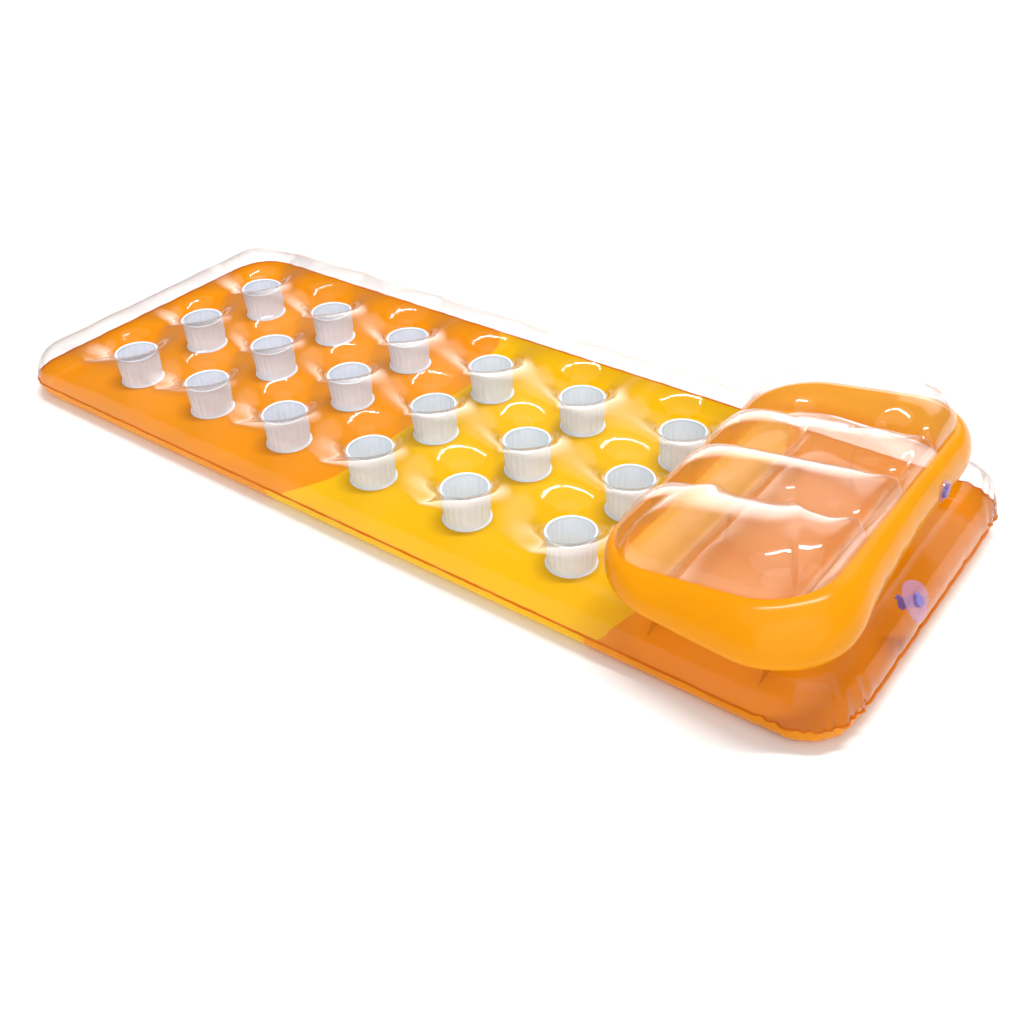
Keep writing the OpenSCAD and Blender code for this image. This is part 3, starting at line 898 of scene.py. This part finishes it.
def build_floor():
    """A plain pale floor."""
    mesh = bpy.data.meshes.new("floor")
    half = FLOOR_HALF
    mesh.from_pydata([(-half, -half, 0), (half, -half, 0), (half, half, 0), (-half, half, 0)],
                     [], [(0, 1, 2, 3)])
    floor = bpy.data.objects.new("floor", mesh)
    bpy.context.scene.collection.objects.link(floor)
    floor.location.z = -FLOOR_DROP
    tree = Tree("floor_white")
    paint = tree.node("ShaderNodeBsdfDiffuse", Color=(FLOOR_GREY, FLOOR_GREY, FLOOR_GREY, 1))
    mesh.materials.append(tree.done(paint))


def area_light(name, at, size_x, size_y, watts, turn=0.0):
    """A rectangular lamp that faces the object, turned about its own axis by some degrees."""
    data = bpy.data.lights.new(name, "AREA")
    data.shape = "RECTANGLE"
    data.size = size_x
    data.size_y = size_y
    data.energy = watts
    lamp = bpy.data.objects.new(name, data)
    lamp.location = at
    lamp.rotation_mode = "QUATERNION"
    facing = (-Vector(at)).to_track_quat("-Z", "Y")
    lamp.rotation_quaternion = facing @ Quaternion((0, 0, 1), math.radians(turn))
    bpy.context.scene.collection.objects.link(lamp)
    return lamp


def sun_light(name, azimuth, elevation, angle, strength):
    """A distant round light. Its direction is given from the object, in degrees."""
    data = bpy.data.lights.new(name, "SUN")
    data.energy = strength
    data.angle = math.radians(angle)
    lamp = bpy.data.objects.new(name, data)
    a, e = math.radians(azimuth), math.radians(elevation)
    towards = Vector((math.cos(a) * math.cos(e), math.sin(a) * math.cos(e), math.sin(e)))
    lamp.rotation_mode = "QUATERNION"
    lamp.rotation_quaternion = (-towards).to_track_quat("-Z", "Y")
    lamp.location = towards * 3
    bpy.context.scene.collection.objects.link(lamp)
    return lamp


def build_world():
    """A pale studio: an even soft level, and broad soft glows in some directions."""
    world = bpy.data.worlds.new("studio")
    bpy.context.scene.world = world
    world.use_nodes = True
    tree = world.node_tree
    tree.nodes.clear()
    out = tree.nodes.new("ShaderNodeOutputWorld")
    place = tree.nodes.new("ShaderNodeTexCoord")
    even = tree.nodes.new("ShaderNodeBackground")
    even.inputs["Color"].default_value = (1, 1, 1, 1)
    even.inputs["Strength"].default_value = STUDIO_LEVEL
    total = even
    for azimuth, elevation, width, strength in GLOWS:
        a, e = math.radians(azimuth), math.radians(elevation)
        towards = (math.cos(a) * math.cos(e), math.sin(a) * math.cos(e), math.sin(e))
        dot = tree.nodes.new("ShaderNodeVectorMath")
        dot.operation = "DOT_PRODUCT"
        dot.inputs[1].default_value = towards
        tree.links.new(place.outputs["Generated"], dot.inputs[0])
        shape = tree.nodes.new("ShaderNodeMapRange")
        shape.interpolation_type = "SMOOTHERSTEP"
        shape.inputs["From Min"].default_value = math.cos(math.radians(width))
        shape.inputs["From Max"].default_value = 1.0
        shape.inputs["To Max"].default_value = strength
        tree.links.new(dot.outputs["Value"], shape.inputs["Value"])
        glow = tree.nodes.new("ShaderNodeBackground")
        glow.inputs["Color"].default_value = (1, 1, 1, 1)
        tree.links.new(shape.outputs["Result"], glow.inputs["Strength"])
        both = tree.nodes.new("ShaderNodeAddShader")
        tree.links.new(total.outputs[0], both.inputs[0])
        tree.links.new(glow.outputs[0], both.inputs[1])
        total = both
    tree.links.new(total.outputs[0], out.inputs["Surface"])


def build_camera():
    """The camera: where it stands, what it looks at, its roll and its lens."""
    stand = Vector(CAMERA_AT)
    target = Vector(CAMERA_TARGET)
    roll = math.radians(CAMERA_ROLL)
    data = bpy.data.cameras.new("camera")
    data.lens = CAMERA_LENS
    data.sensor_width = 36.0
    data.clip_start = 0.05
    data.clip_end = 100.0
    camera = bpy.data.objects.new("camera", data)
    turn = (target - stand).to_track_quat("-Z", "Y").to_matrix() @ Matrix.Rotation(-roll, 3, "Z")
    camera.rotation_mode = "QUATERNION"
    camera.rotation_quaternion = turn.to_quaternion()
    camera.location = stand
    bpy.context.scene.collection.objects.link(camera)
    bpy.context.scene.camera = camera


build_floor()
build_world()
sun_light("dome", azimuth=-50, elevation=74, angle=75, strength=1.05)
area_light("overhead", OVERHEAD_AT, *OVERHEAD_SIZE, OVERHEAD_WATTS, turn=OVERHEAD_TURN)
sun_light("front", azimuth=-42, elevation=24, angle=80, strength=1.60)
build_camera()

scene = bpy.context.scene
scene.view_settings.view_transform = "Standard"
scene.cycles.transparent_max_bounces = 24
